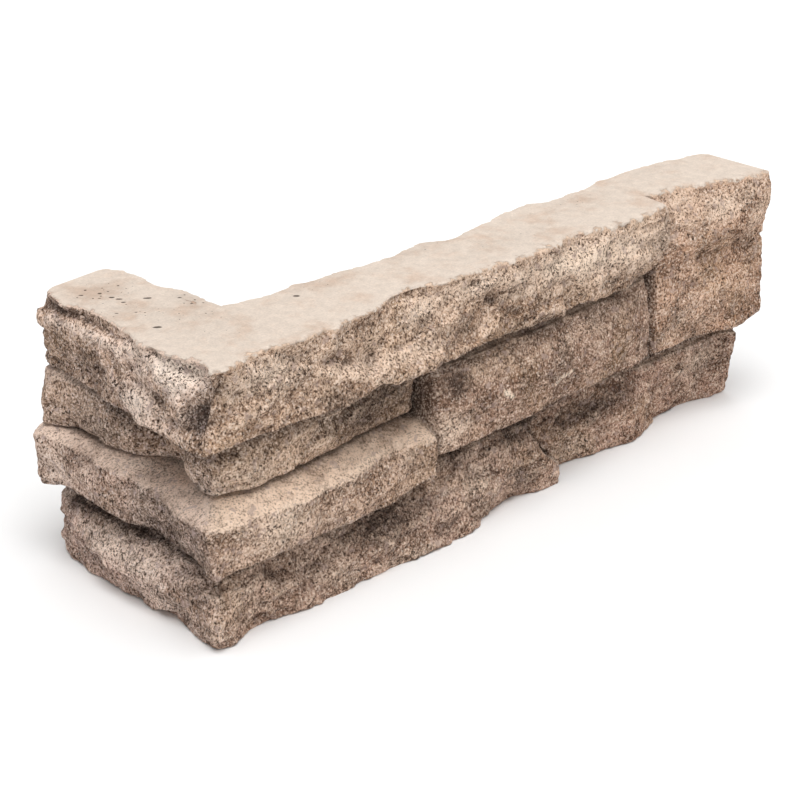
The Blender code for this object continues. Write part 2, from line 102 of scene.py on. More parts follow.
# each stone's lines: distance from the arris, a height, and how far the face stands out.
# Foot: height over the course level; Belly, Waist, Brow: share of the stone's height;
# Head: drop under the stone above. A point of two numbers takes its line's usual height
usualHeights = {"Foot": 0, "Belly": 0.5, "Waist": 0.58, "Brow": 0.75, "Head": 0}
capStone = {
    "level": 72.0, "tint": "#CEAF93", "rough": 1.0, "edge": 1.5,
    "shortFoot": ((0, 6), (7, 7), (16, 6), (25, 5), (35, 2), (41, 3), (50, 3), (61, 0), (81, -1.5),
                  (88, -4)),
    "shortBelly": ((0, 0.28, 3), (7, 0.2, 6), (24, 0.16, 6), (30, 0.22, 5), (37, 0.36, 4), (45, 0.42, 2.5),
                   (60, 0.4, 1), (88, 0.36, -1)),
    "shortBrow": ((0, 0.72, 0.5), (6, 0.74, 0), (12, 0.74, 1), (20, 0.76, 3.5), (32, 0.72, 3), (45, 0.7, 2),
                  (60, 0.66, 1.8), (88, 0.64, 0.4)),
    "shortHead": ((0, 0.5), (8, -1.4), (11, 0), (17, 4), (25, 4), (37, 2), (46, 0), (58, -1.5), (67, -1),
                  (74, 1), (83, 0), (88, -1)),
    "longFoot": ((0, 5), (16, 5), (39, 6), (50, 7), (62, 6), (73, 3), (81, 4), (93, 6), (100, 4), (115, 3),
                 (143, 0), (158, 2), (172, 0), (194, 0), (205, -4), (220, -6)),
    "longBelly": ((0, 0.28, 3), (7, 0.3, 5), (25, 0.42, 4), (43, 0.46, 4.5), (52, 0.38, 5.5), (60, 0.29, 6),
                  (69, 0.19, 5.5), (77, 0.13, 5), (90, 0.14, 6.5), (98, 0.18, 5.5), (115, 0.36, 2),
                  (130, 0.42, -0.5), (150, 0.4, 1), (194, 0.42, 1), (220, 0.42, -2)),
    "longWaist": ((0, 0.52, 3.5), (25, 0.6, 3.5), (40, 0.62, 3.5), (52, 0.55, 2), (62, 0.46, 1),
                  (72, 0.42, 0.5), (84, 0.42, 0), (98, 0.44, 1), (112, 0.56, 1.5), (126, 0.6, -1.5),
                  (134, -3), (142, 0.56, -1.5), (155, 0.5), (194, 1), (220, -1)),
    "longBrow": ((0, 0.72, 3), (10, 4.5), (24, 2.5), (40, 3), (60, 0.72, 2), (86, 0.72, -2), (120, 0),
                 (142, 0.5), (170, -1), (196, 1.5), (220, 0)),
    "longHead": ((0, 4.6), (4, 6.2), (9, 3.7), (16, 0.7), (24, 1.5), (31, 4), (45, 2), (73, 0), (86, -4),
                 (100, -2.7), (108, 0.5), (120, -1.3), (142, 0), (155, -0.6), (170, -2.7), (184, -1),
                 (196, 1), (220, -0.6)),
}
recessStone = {
    "level": 52.0, "tint": "#CDB094", "rough": 0.7, "edge": 1.2,
    "shortFoot": ((0, -4), (7, -3), (13, -4), (19, -7), (25, -11), (35, -13), (43, -8), (47, -4.5),
                  (76, -3), (88, 2.5)),
    "shortBelly": ((0, -3), (10, -2), (19, -5), (27, -10), (37, -10), (45, -4), (55, -2), (76, -1.5),
                   (88, 2.2)),
    "shortHead": ((0, 2, -4), (15, 2, -4), (27, 2, -8), (37, 2, -8), (47, 2, -4), (76, 2, -2),
                  (88, 2, -1.2)),
    "longFoot": ((0, -3), (9, -2), (17, 0), (32, -1), (50, -3), (69, -6), (88, -8), (98, -9)),
    "longBelly": ((0, -2), (17, 1), (32, 0.5), (50, -1), (69, -4), (98, -7.5)),
    "longHead": ((0, 2, -3), (17, 2, -1), (50, 2, -3), (98, 2, -8)),
}
shelfStone = {
    "level": 30.0, "tint": "#D8BAA2", "rough": 0.5, "edge": 0.9,
    "shortFoot": ((0, -1.5, 5), (5, -1, 3), (13, -0.5, 0.5), (29, 1, 0), (36, 2, 3), (41, 2, 5),
                  (74, 2, 4.5), (88, 0.5, 5.8)),
    "shortBelly": ((0, 5.5), (10, 4), (25, 2), (38, 2.5), (55, 4.5), (75, 4.5), (88, 7)),
    "shortHead": ((0, 6, 5.5), (14, 6, 4.5), (24, 5, 2), (33, 5, 0), (40, 5, 0), (46, 4, 2.5), (54, 4, 3.5),
                  (63, 4, 1), (72, 3, 3), (80, 3, 3), (88, 2, 6.8)),
    "longFoot": ((0, -1.5, 6.5), (10, -1.7, 5.5), (70, -2, 5.5), (86, 4.5), (98, 1, 4.5)),
    "longBelly": ((0, 6), (20, 7), (34, 7.5), (50, 6), (75, 4.5), (98, 5.5)),
    "longHead": ((0, 6, 4), (8, 6, 6.5), (18, 6, 6), (34, 6.5, 8.5), (44, 6.5, 6), (56, 6.5, 5),
                 (66, 6.5, 3), (74, 6, 1), (84, 6, 1), (91, 6.5, 4), (98, 6, 5)),
}
baseStone = {
    "level": 0.0, "tint": "#CCAC97", "rough": 0.9, "edge": 1.6,
    "shortFoot": ((0, 1), (4, 1.6), (14, 0.8), (25, -1.9), (40, -2.2), (52, -0.4), (76, -0.9), (88, -2)),
    "shortBelly": ((0, 0.45, 2), (15, 1.5), (30, 0.52, 3.5), (45, 0.54, 4.5), (60, 0.56, 3.5),
                   (75, 0.6, 0.2), (88, 0.62, -3.2)),
    "shortHead": ((0, 5, -3), (15, 5, -4), (35, 6, -4), (60, 7, -2.5), (88, 7.5, -3.2)),
    "longFoot": ((0, 1.4), (5, 2.8), (16, -0.2), (28, -0.8), (37, 1), (56, 3.2), (64, 1.3), (92, 2.8),
                 (118, 0.8), (130, -3.3), (146, -6.8), (158, -3.6), (170, -2)),
    "longBelly": ((0, 0.45, 3), (20, 0.45, 0.5), (40, 0.35, 1), (63, 0.35, 2), (98, 0.42, 1),
                  (118, 0.42, 0), (135, 0.42, -2), (170, 0.36, -4)),
    "longHead": ((0, 5, -3), (40, 5, -4), (98, 6, -5), (170, 6, -8)),
}
middleStone = {
    "level": 37.0, "tint": "#B08E77", "rough": 0.6, "edge": 1.1,
    "longFoot": ((98, 2), (103, 3), (150, 2.5), (160, 0), (185, -1), (210, -2), (220, -5)),
    "longBelly": ((98, 0), (103, 3), (125, 4.5), (150, 4), (175, 2), (200, 0), (213, -3), (220, -6)),
    "longHead": ((98, 3, -4), (106, 3, -1), (150, 3, -1), (180, 3, -3), (205, 3, -6), (220, 3, -8)),
}
baseCloser = {
    "level": 0.0, "tint": "#BC9781", "rough": 0.9, "edge": 1.5,
    "longFoot": ((170, -12.8), (182, -13.2), (195, -11.3), (208, -9.8), (219, -7), (239, -15.6),
                 (254, -16.2), (266, -15.7), (277, -12.6), (284.3, -13.3)),
    "longBelly": ((170, -12), (195, 0.55, -11), (219, 0.55, -8), (240, 0.55, -13), (266, -14),
                  (284.3, 0.45, -10.8)),
    "longHead": ((170, 6, -12), (217, 6, -11), (270, 7, -11), (284.3, 11, -8.4)),
}
endStone = {
    "level": 36.0, "tint": "#D0A88A", "rough": 0.55, "edge": 1.3,
    "longFoot": ((220, -5), (248, -6), (260, 0.5, -3), (271, 1.5, 0.8), (279, 3, 1.3), (284.3, 4, 1.6)),
    "longBelly": ((220, 0.28, -6), (226, 0.28, -3), (245, 0.28, -2), (265, 0.28, 0.5), (284.3, 0.25, 1)),
    "longWaist": ((220, 0.54, -6), (226, 0.54, -5), (245, 0.55, -3), (265, 0.55, -1), (284.3, 0.6, 0)),
    "longBrow": ((220, 0.72, -9), (233, 0.68, -3), (245, 0.67, 0), (260, 0.66, 1.5), (272, 0.67, 2),
                 (284.3, 0.8, 2)),
    "longHead": ((220, -11.5), (240, -12.3), (250, -9), (261, -5), (272, -1.5), (284.3, 1.3)),
}

# how far the upright joints lean out of plumb: height, shift along the wall
baseEndLean = ((0, 2), (9, 2), (13, -4), (17, -8), (22, -11), (27, -14), (40, 0), (100, 0))
endStartLean = ((0, 0), (30, 1), (36, 4), (54, 3.5), (70, 3), (75, 5), (84, 10), (91, 8), (100, 4.5))

# wear of the top edge at the back: distance along the back, how far it is worn away
longWear = ((37, 1.5), (45, 4), (61, 4.5), (67, 3.5), (75, 4.5), (88, 5), (106, 6.5), (114, 4.5),
            (124, 3.5), (137, 8), (147, 6), (160, 3.5), (172, 1.5), (184, 0.5), (192, 3.5),
            (216, 2.5), (231, 0), (250, 0), (270, 3), (281, 4.5), (284.3, 8))
shortWear = ((38, 0), (50, 0), (58, 1), (65, 4), (76, 2.5), (81, 4), (85, 3.5), (89, 6))

# stacks of stones along the wall; a stone named twice fills two courses
cornerStack = (baseStone, shelfStone, recessStone, capStone)
middleStack = (baseStone, middleStone, middleStone, capStone)
closerStack = (baseCloser, middleStone, middleStone, capStone)
endStack = (baseCloser, endStone, endStone, endStone)

# what is carved into the split faces: path of (place along the wall, height), the short leg
# counted as minus; how far it stands out (below nought a dent); its half width; and how much
# darker it is (below nought paler), mostly painted shade and painted highlight where shadow and
# light fall on crests, facets, rims and under lips
carving = (
    # top stone, long leg: curved crests painted paler as lit, the chipped crater and the hollow over
    # the lip painted darker as shaded
    (((-3, 78), (3, 78.5), (15, 81), (25, 84), (30, 87)), 0.9, 1.8, -0.3),
    (((43, 86.5), (51, 83), (60, 80), (69, 77), (76, 75.3), (83, 75), (90, 75.8), (97, 76.5)),
     0.5, 1.7, -0.35),
    (((94, 83), (99, 84.5), (104, 85.3), (109, 86)), 1.2, 1.5, -0.2),
    (((128, 88), (131, 85), (136, 81), (141, 79)), -1.4, 3, 0.2),
    (((3, 97), (4, 92)), -1.5, 2.5, 0.1),
    (((52, 90), (66, 86), (82, 82)), -0.5, 4.5, 0.1),
    # top stone, short leg: dark band under the lip, facets beside the arris painted paler as lit,
    # and its groove painted darker as shaded
    (((-90, 96.5), (-70, 97.3), (-50, 97.5), (-36, 98.5)), -1.5, 2.2, 0.2),
    (((-90, 95.5), (-76, 96), (-62, 96.5), (-45, 97)), 0, 2, 0.4),
    (((-84, 92.3), (-66, 93.9), (-52, 93.4), (-41, 92.3)), 0.8, 1.9, -0.65),
    (((-46, 84), (-41, 80), (-36, 76.5), (-32, 74.5), (-27, 73.7), (-14, 74.5), (-5, 76)), 1, 1.8, -0.4),
    (((-23, 96), (-16, 90.6), (-11, 85), (-8, 81)), 1.1, 1.4, -0.1),
    (((-24, 98), (-15, 98), (-7, 97.5)), -1.6, 3, 0),
    (((-44, 89), (-30, 85), (-14, 79)), -1.8, 4.5, -0.12),
    (((-19, 96), (-12, 88)), 0, 4, -0.6),
    (((0, 92), (-2.5, 86), (-3.5, 75)), -1.5, 2.3, 0.3),
    (((3, 97), (3.5, 88), (2, 78)), -0.8, 2, 0.1),
    # shelf stone
    (((48, 44.5), (56, 44.5), (68, 46)), 0.8, 2, -0.2),
    (((-76, 31), (-58, 34), (-40, 35), (-22, 37)), -0.9, 5.5, 0.15),
    # painted highlight along the front rims of the shelf's ledge
    (((2, 46), (20, 45.8), (34, 45.5), (50, 45.5), (75, 46), (96, 46)), 0, 1.2, -0.8),
    (((-88, 49.5), (-72, 49), (-54, 48)), 0, 1.2, -0.2),
    (((-7, 45), (-5, 38), (-1.5, 30)), 0.3, 3, 0),
    # painted shadow on the base stone under the shelf's lip
    (((-80, 23), (-58, 27.5), (-38, 28.5), (-12, 29)), 0, 3.4, 0.85),
    # base stone: bulges painted paler as lit on their upper slopes, and dents painted darker as shaded
    (((-70, 20), (-58, 18.5), (-41, 17), (-28, 16)), 0.3, 4, -0.5),
    (((-74, 8), (-54, 7), (-31, 8), (-10, 10)), -1, 4, 0.3),
    (((-2, 18), (0, 8), (1, 2)), 0.6, 3.5, -0.1),
    (((24, 19), (27, 14)), -1, 2.5, 0.35),
    # end stone: painted highlight on the chamfer under the lip, which faces up, and painted shade in
    # the band below it
    (((228, 94), (240, 91), (262, 91), (280, 94)), 0, 8, -0.35),
    (((226, 74), (245, 72), (262, 71), (282, 74)), -0.8, 5, 0),
    (((282, 96), (273, 88), (263, 80), (256, 78)), 0, 2.5, 0.45),
    # middle stone: two lime specks and a scratch
    (((130.5, 52.5), (131.5, 51.8)), 0.3, 1, -3),
    (((133.3, 50.5), (133.8, 50)), 0.3, 0.8, -3),
    (((160, 46.5), (163, 48.2), (166, 48), (170, 48.8)), 0.2, 0.7, -2.4),
)

# the split surface's roughness: cell size and height of each layer
splitFace = {
    "chips": ((12.0, 0.85), (5.0, 0.50)),
    "swell": (15.0, 0.9),
    "grit": (2.6, 0.42),
    "seed": 11,
    "stretch": (0.75, 0.75, 1.3),
    "warp": (7.0, 2.5),     # width and height of the noise that bends the facets' borders
    "ledgeCalm": 0.55,
    "rimCalm": 2.5,         # under the top and over the bed the surface moves level only
}

# painted shade, standing in for the shadow in joints, creases and under overhangs: how far it
# reaches and how much, on a foot line, under what overhangs, and along an upright joint; and the
# overhang that gives the full shade
shadePaint = {
    "foot": (0.9, 0.7),
    "shade": (5.0, 0.75),
    "upright": (1.0, 0.6),
    "overhang": 3.5,
    "ledge": 0.8,
    "behind": 4.0,          # this far behind its surroundings the wall is all painted shade
}

# broad tone of the faces, much of it painted shade where shadow falls under lips and in recesses,
# and painted light on lit facets and ledges, the rest the stone's own patches: place along the wall,
# height, reach along, reach up, and how much darker (below nought paler)
blotches = (
    # top stone, long leg
    (22, 92, 16, 5, -1.1), (51, 75, 8, 4, 0.6), (60, 92, 30, 7, -0.2), (70, 84, 7, 6, -0.8),
    (83, 71, 8, 5, 1), (94, 91, 9, 6, -1), (108, 83, 13, 5, 0.4), (118, 95, 18, 4, -0.9),
    (122, 80, 7, 4, -0.4), (148, 71, 16, 5, 0.7), (155, 92, 24, 6, -0.9), (188, 89, 28, 9, -1.2),
    # middle and recessed stones, long leg
    (2, 64, 8, 4, 0.3), (20, 58, 24, 6, -0.4), (51, 68, 10, 3.5, 0.2), (72, 60, 14, 8, 0.9),
    (91, 63, 6, 6, 0.4), (109, 61, 6, 6, 1), (104, 46, 10, 7, -0.8), (128, 67, 14, 4, 0.5),
    (150, 55, 26, 12, 0.15), (166, 60, 8, 6, -0.25), (202, 58, 8, 8, 0.25),
    # shelf, long leg
    (2, 50.5, 10, 3, -1.8), (23, 40, 9, 6, -0.9), (64, 48, 14, 2.5, -0.5), (86, 42, 7, 6, 0.5),
    # base stones, long leg
    (12, 12, 12, 7, -0.4), (38, 11, 12, 7, 0.25), (56, 8, 8, 5, -0.4), (76, 18, 20, 7, 0.9),
    (85, 2, 12, 3, -0.6), (104, 7, 7, 5, 0.45), (114, 29, 9, 5, 0.8), (122, 18, 8, 6, -0.6),
    (152, 30, 14, 6, 1.2), (149, 10, 8, 6, 0.8), (174, 30, 14, 5, 0.8), (190, 19, 13, 5, 0.7),
    (186, 6, 16, 5, -0.5), (206, 22, 14, 6, 0.65), (264, 20, 12, 7, -0.55),
    # end stone
    (244, 91, 7, 5, 0.35), (260, 90, 7, 5, -0.5), (264, 66, 10, 5, 0.2), (245, 55, 30, 18, -0.15),
    (276, 84, 8, 14, -0.35),
    # top stone, short leg: the chip at the corner painted pale as lit, the brown facet, and the ridge
    # painted pale as lit
    (-2.5, 83, 4.5, 7, 0.4), (-7, 83.5, 5, 5, 0.9), (-18, 87, 8, 4, 0.3), (-11, 95, 7, 4, -2.1),
    (-13, 89, 4, 4, -1.2), (-30, 80, 10, 6, -1.4), (-28, 96, 16, 5, -1), (-42, 97, 10, 3, -0.6),
    (-62, 92, 18, 3, -0.4), (-62, 82, 18, 6, 0.45),
    # recessed stone, short leg
    (-2, 57, 9, 6, -0.3), (-20, 65, 12, 4, 0.6), (-44, 67, 9, 5, 0.75), (-66, 57, 13, 6, 0.5),
    (-66, 47, 12, 4, 0.55),
    # shelf, short leg
    (-34, 50.5, 18, 2.5, -1.8), (-36, 44.5, 9, 3.5, 0.45), (-20, 44, 8, 4, 0.55), (-6, 43, 5, 6, 0.6),
    (-5, 33, 5, 5, 0.4), (-24, 35, 18, 4, 0.55), (-78, 37, 8, 7, -0.7),
    # base stone, short leg
    (-64, 22, 8, 4, 0.4), (-48, 14, 8, 4, 0.35), (-42, 24, 12, 3, 0.6), (-32, 20, 8, 3, -0.3),
    (-10, 16, 12, 6, 0.6), (-26, 8, 20, 5, -1), (-52, 17, 14, 5, -0.6),
)

# how far the top's cream skin runs down over the lip: distance along the wall, millimetres
skinRuns = ((-90, 0.6), (-60, 0.8), (-46, 2.0), (-36, 2.5), (-22, 2.5), (-4, 2.0), (25, 2.2),
            (60, 1.8), (120, 1.6), (165, 2.4), (200, 3.4), (219, 2.6), (225, 2.6), (284, 2.2))

# where the top's skin is pitted and stained: place x and y, reach along x and y, how much
pitted = (
    (14, 74, 12, 9, 0.9), (24, 20, 18, 14, 0.35), (10, 55, 10, 8, 0.55), (20, 40, 14, 12, 0.45),
    (32, 47, 4, 9, 1.1), (70, 30, 16, 6, 0.6), (120, 31, 24, 5, 0.6), (150, 14, 26, 6, 0.5),
    (200, 26, 20, 8, 0.45), (250, 30, 24, 6, 0.3),
)

# the top's larger pores: place x and y, half length
pores = (
    (11.4, 69.8, 0.7), (14.9, 67.8, 1.2), (15.8, 65, 1.2), (15, 61.4, 0.9), (23, 58.9, 1.6),
    (7.5, 55.1, 0.8), (12.7, 51.3, 0.7), (9.8, 36.3, 1.7), (60.1, 26.2, 1.6), (8.5, 76, 0.9), (31, 52, 0.9),
)


def held(slopes, rises):
    # slopes that overshoot nowhere: level where the way turns, and at most three times the
    # smaller of the rises on both sides
    before = np.concatenate([rises[:1], rises])
    after = np.concatenate([rises, rises[-1:]])
    limit = 3 * np.minimum(np.abs(before), np.abs(after))
    return np.clip(np.where(before * after <= 0, 0, slopes), -limit, limit)


def cubic(t, width, start, end, startSlope, endSlope):
    # the piece between two points: t is the share of the way, and both slopes are kept
    return (start * (1 + 2 * t) * (1 - t) ** 2 + end * t * t * (3 - 2 * t)
            + width * (startSlope * t * (1 - t) ** 2 - endSlope * t * t * (1 - t)))


def flow(points, at):
    # smooth curve of cubic pieces through (position, value) points, level beyond both ends
    xs, ys = np.array(points, float).T
    slopes = held(np.gradient(ys, xs), np.diff(ys) / np.diff(xs))
    at = np.clip(at, xs[0], xs[-1])
    i = np.clip(np.searchsorted(xs, at, side="right") - 1, 0, len(xs) - 2)
    width = xs[i + 1] - xs[i]
    return cubic((at - xs[i]) / width, width, ys[i], ys[i + 1], slopes[i], slopes[i + 1])


def flowUp(shares, values, rows):
    # the same up every column at once: shares and values are (points, columns) arrays, rows
    # are the shares wanted, and the result is a (rows, columns) array
    width = np.diff(shares, axis=0)
    rises = np.diff(values, axis=0) / width
    slopes = held((np.concatenate([rises[:1], rises]) + np.concatenate([rises, rises[-1:]])) / 2, rises)
    out = np.zeros_like(rows)
    for k in range(len(width)):
        t = np.clip((rows - shares[k]) / width[k], 0, 1)
        piece = cubic(t, width[k], values[k], values[k + 1], slopes[k], slopes[k + 1])
        out = np.where(rows >= shares[k], piece, out)
    return out


def rounded(gap, radius):
    # how far a face falls back at this gap from its edge, as a quarter circle does
    return radius * (1 - np.sqrt(1 - (1 - np.clip(gap / radius, 0, 1)) ** 2))


def offRim(z, reach):
    # nought at the top and at the bed, rising to one at this reach from both
    return np.clip(np.minimum(z, corner["height"] - z) / reach, 0, 1)


def bell(gap, reach):
    return np.exp(-(gap / reach) ** 2)


def bells(table, u, v):
    # each row of the table is a bell over u and v: its middle, its reach both ways, its height
    total = np.zeros_like(u)
    for u0, v0, reachU, reachV, amount in table:
        total += amount * np.exp(-((u - u0) / reachU) ** 2 - ((v - v0) / reachV) ** 2)
    return total


def readLine(stone, leg, name, column, along):
    usual = usualHeights[name]
    points = [p if len(p) == 3 else (p[0], usual, p[1]) for p in stone[leg + name]]
    return flow([(p[0], p[column]) for p in points], along)


def stoneFace(stone, leg, along, above, rows):
    # heights and offsets of one stone's face up from its foot, with both edges rounded
    names = [name for name in usualHeights if leg + name in stone]
    shares = [readLine(stone, leg, name, 1, along) for name in names]
    offsets = [readLine(stone, leg, name, 2, along) for name in names]
    foot = stone["level"] + shares[0]
    head = above - shares[-1]
    shares[0] = np.zeros_like(along)
    shares[-1] = np.ones_like(along)
    # rows stand closer at the two edges
    share = np.linspace(0, 1, rows)
    share = (share + 0.10 * np.sin(2 * np.pi * share) / -np.pi)[:, None] * np.ones_like(along)
    offset = flowUp(np.array(shares), np.array(offsets), share)
    height = foot + (head - foot) * share
    atTop = above[0] == corner["height"]
    for gap, atRim in ((height - foot, stone["level"] == 0), (head - height, atTop)):
        offset -= rounded(gap, corner["rimRound"] if atRim else stone["edge"])
    return height, offset


def wallProfile(stack, leg, along):
    # heights, offsets and painted shade up the wall for a run of columns that share one stack: faces,
    # and between two stones a ledge that runs back into the joint and the soffit coming out
    # again; the painted shade lies in the joint, on the foot line and under what overhangs
    first = [i for i, s in enumerate(stack) if i == 0 or stack[i - 1] is not s]
    levels = [stack[i]["level"] + readLine(stack[i], leg, "Foot", 1, along) for i in first]
    levels.append(np.full_like(along, corner["height"]))
    heights, offsets, paintedShades = [], [], []
    for course, until, above in zip(first, first[1:] + [len(stack)], levels[1:]):
        # a stone that fills two courses takes the rows of the joint between them too
        rows = sum(corner["courseRows"][course:until])
        rows += sum(sum(pair) - 1 for pair in corner["jointRows"][course:until - 1])
        z, o = stoneFace(stack[course], leg, along, above, rows)
        paintedShade = z * 0
        if heights:
            below, out = heights[-1][-1], offsets[-1][-1]
            back = np.minimum(o[0], out) - corner["undercut"]
            joint = z[0] - corner["jointDrop"]
            ledge, soffit = corner["jointRows"][course - 1]
            overhang = np.clip((o[0] - out) / shadePaint["overhang"], 0, 1)
            # painted shadow on the face of the stone below, under what overhangs it
            reach, amount = shadePaint["shade"]
            paintedShades[-1] = np.maximum(paintedShades[-1], bell(joint - heights[-1], reach) * overhang * amount)
            t = (np.arange(1, ledge + 1) / ledge)[:, None]
            heights.append(below + (joint - below) * t + np.sin(np.pi * t) * corner["ledgeBow"])
            offsets.append(out + (back - out) * t)
            # painted shade deep in the joint, and over the whole ledge where the stone above overhangs it
            paintedShades.append(np.maximum(t ** 6, overhang * shadePaint["ledge"] * np.ones_like(t)))
            t = (np.arange(1, soffit) / soffit)[:, None]
            heights.append(joint + (z[0] - joint) * t)
            offsets.append(back + (o[0] - back) * t)
            # the soffit is all painted shade
            paintedShades.append(np.ones_like(heights[-1]))
            # painted shade in the crease along this stone's foot
            reach, amount = shadePaint["foot"]
            paintedShade = bell(z - z[0], reach) * amount
        heights.append(z)
        offsets.append(o)
        paintedShades.append(paintedShade)
    return np.concatenate(heights), np.concatenate(offsets), np.concatenate(paintedShades)


def rowStones(stack):
    # number of the stone on each row; joint rows go with the stone below
    names = []
    for i, stone in enumerate(stack):
        spare = sum(corner["jointRows"][i]) - 1 if i + 1 < len(stack) else 0
        names += [id(stone)] * (corner["courseRows"][i] + spare)
    return np.array(names)


def evenly(start, end):
    return np.linspace(start, end, max(2, int(np.ceil((end - start) / corner["spacing"])) + 1))


def longWall():
    # columns of the long leg from the arris to its flat end, with the upright joints sunk in
    spans = ((cornerStack, corner["shelfEnd"]), (middleStack, corner["baseEnd"]),
             (closerStack, corner["endStart"]), (endStack, corner["longLeg"]))
    alongs, parts = [], []
    begin = 0.0
    half = corner["jointHalf"]
    reach, amount = shadePaint["upright"]
    for i, (stack, finish) in enumerate(spans):
        last = i == len(spans) - 1
        along = evenly(begin, finish if last else finish - half)
        z, o, paintedShade = wallProfile(stack, "long", along)
        for j, far in ((i - 1, along - begin), (i + 1, finish - half - along)):
            if 0 <= j < len(spans):
                parted = (rowStones(stack) != rowStones(spans[j][0]))[:, None]
                o -= parted * rounded(far, corner["jointRound"])
                # painted shade along an upright joint
                paintedShade = np.maximum(paintedShade, parted * bell(far, reach) * amount)
        alongs.append(along)
        count = len(along)
        parts.append((z, o, paintedShade, perStone(stack, count, "tint"), perStone(stack, count, "rough")))
        if not last:
            # one column in the joint itself, between this span and the next
            after = spans[i + 1][0]
            here = np.array([finish])
            z0, o0, g0 = wallProfile(stack, "long", here)
            z1, o1, g1 = wallProfile(after, "long", here)
            parted = (rowStones(stack) != rowStones(after))[:, None]
            alongs.append(here)
            parts.append(((z0 + z1) / 2,
                          np.where(parted, np.minimum(o0, o1) - corner["jointDepth"], (o0 + o1) / 2),
                          # the joint itself is all painted shade
                          np.where(parted, 1, (g0 + g1) / 2),
                          (perStone(stack, 1, "tint") + perStone(after, 1, "tint")) / 2,
                          perStone(stack, 1, "rough")))
        begin = finish + half
    return [np.concatenate(alongs)] + [np.concatenate(field, 1) for field in zip(*parts)]


def shortWall():
    # columns of the short leg from the arris, and the insets that round its free end
    turn = np.linspace(0, np.pi / 2, 10)[1:]
    straight = evenly(0, corner["shortLeg"] - corner["endRound"])
    along = np.concatenate([straight, corner["shortLeg"] - corner["endRound"] * (1 - np.sin(turn))])
    inset = np.concatenate([np.zeros_like(straight), corner["endRound"] * (1 - np.cos(turn))])
    return [along, *wallProfile(cornerStack, "short", along), inset]


def linear(value):
    return value / 12.92 if value <= 0.04045 else ((value + 0.055) / 1.055) ** 2.4


def colour(text):
    # sRGB hex to the linear value that a shader takes
    return tuple(linear(int(text[i:i + 2], 16) / 255) for i in (1, 3, 5)) + (1.0,)


def perStone(stack, count, key):
    # the value of the stone on each row, the same along count columns; a tint is made a colour
    table = {id(s): colour(s[key]) if key == "tint" else s[key] for s in stack}
    rows = np.array([table[name] for name in rowStones(stack)])
    return np.repeat(rows[:, None], count, 1)


def lattice(points, cell, seed):
    # smooth noise: random values on a cubic lattice, blended by a fifth-degree ease curve
    table = np.random.RandomState(seed).rand(32, 32, 32) * 2 - 1
    q = points / cell
    base = np.floor(q).astype(int)
    f = q - base
    f = f ** 3 * (f * (f * 6 - 15) + 10)
    total = 0.0
    for step in np.ndindex(2, 2, 2):
        step = np.array(step[::-1])
        weight = np.prod(np.where(step, f, 1 - f), -1)
        i, j, k = np.moveaxis((base + step) % 32, -1, 0)
        total = total + weight * table[i, j, k]
    return total


def fractal(points, cell, octaves, seed, gain=0.5):
    # layers of smooth noise, each half as wide and a share as high as the one before
    total = 0.0
    for k in range(octaves):
        total = total + gain ** k * lattice(points, cell / 2 ** k, seed + k)
    return total


def chips(points, cell, seed):
    # split facets: each lattice cell has a stray centre and a tilted plane, and a point takes
    # the plane of its nearest centre, eased towards the second nearest at the border
    rng = np.random.RandomState(seed)
    centres = rng.rand(16, 16, 16, 3)
    tilts = rng.randn(16, 16, 16, 4)
    q = points / cell
    base = np.floor(q).astype(int)
    near = np.full(q.shape[:-1], 9.0)
    second = np.full(q.shape[:-1], 9.0)
    value = np.zeros(q.shape[:-1])
    other = np.zeros(q.shape[:-1])
    for step in np.ndindex(3, 3, 3):
        place = base + np.array(step) - 1
        i, j, k = np.moveaxis(place % 16, -1, 0)
        away = q - place - centres[i, j, k]
        far = np.sqrt((away ** 2).sum(-1))
        tilt = tilts[i, j, k]
        plane = 0.55 * tilt[..., 3] + (away * tilt[..., :3]).sum(-1) * 0.9
        closer = far < near
        between = ~closer & (far < second)
        second = np.where(closer, near, np.where(between, far, second))
        other = np.where(closer, value, np.where(between, plane, other))
        near = np.where(closer, far, near)
        value = np.where(closer, plane, value)
    ease = np.clip((second - near) / 0.18, 0, 1)
    return value * (0.5 + 0.5 * ease) + other * (0.5 - 0.5 * ease)


def pathDistance(s, z, path):
    # shortest way from every point of the wall to a path of straight pieces
    best = np.full(s.shape, 1e9)
    for (s0, z0), (s1, z1) in zip(path, path[1:]):
        ds, dz = s1 - s0, z1 - z0
        t = np.clip(((s - s0) * ds + (z - z0) * dz) / (ds * ds + dz * dz), 0, 1)
        best = np.minimum(best, np.hypot(s - s0 - t * ds, z - z0 - t * dz))
    return best


def lean(along, z):
    shift = np.zeros_like(z)
    for place, path in ((corner["baseEnd"], baseEndLean), (corner["endStart"], endStartLean)):
        near = np.clip(1 - np.abs(along - place) / corner["leanReach"], 0, 1)
        shift += near * np.interp(z, [p[0] for p in path], [p[1] for p in path])
    return shift


def backLine(depth, wear):
    # the back from the top down: the worn upper edge, then flat to the bed
    rows = corner["backRows"]
    reach = corner["backWearHeight"]
    z = np.concatenate([corner["height"] - reach * np.array([0, 0.08, 0.2, 0.4, 0.7, 1.0]),
                        np.linspace(corner["height"] - reach, 0, rows - 4)[1:]])
    drop = np.clip((corner["height"] - z) / reach, 0, 1)
    return z[:, None] * np.ones_like(depth), depth - wear * ((1 - drop) ** 1.5)[:, None]


def smoothAlong(field, reach):
    # mean over a window of columns and rows, by running sums
    out = field
    for axis in (0, 1):
        pad = [(0, 0), (0, 0)]
        pad[axis] = (reach + 1, reach)
        total = np.cumsum(np.pad(out, pad, mode="edge"), axis=axis)
        size = out.shape[axis]
        window = 2 * reach + 1
        out = (np.take(total, range(window, window + size), axis)
               - np.take(total, range(0, size), axis)) / window
    return out


def surfaceNormals(points):
    # across the grid: the way along the wall crossed with the way up
    up = np.gradient(points, axis=0)
    along = np.gradient(points, axis=1)
    normal = np.cross(along, up)
    return normal / np.maximum(np.linalg.norm(normal, axis=-1, keepdims=True), 1e-9)


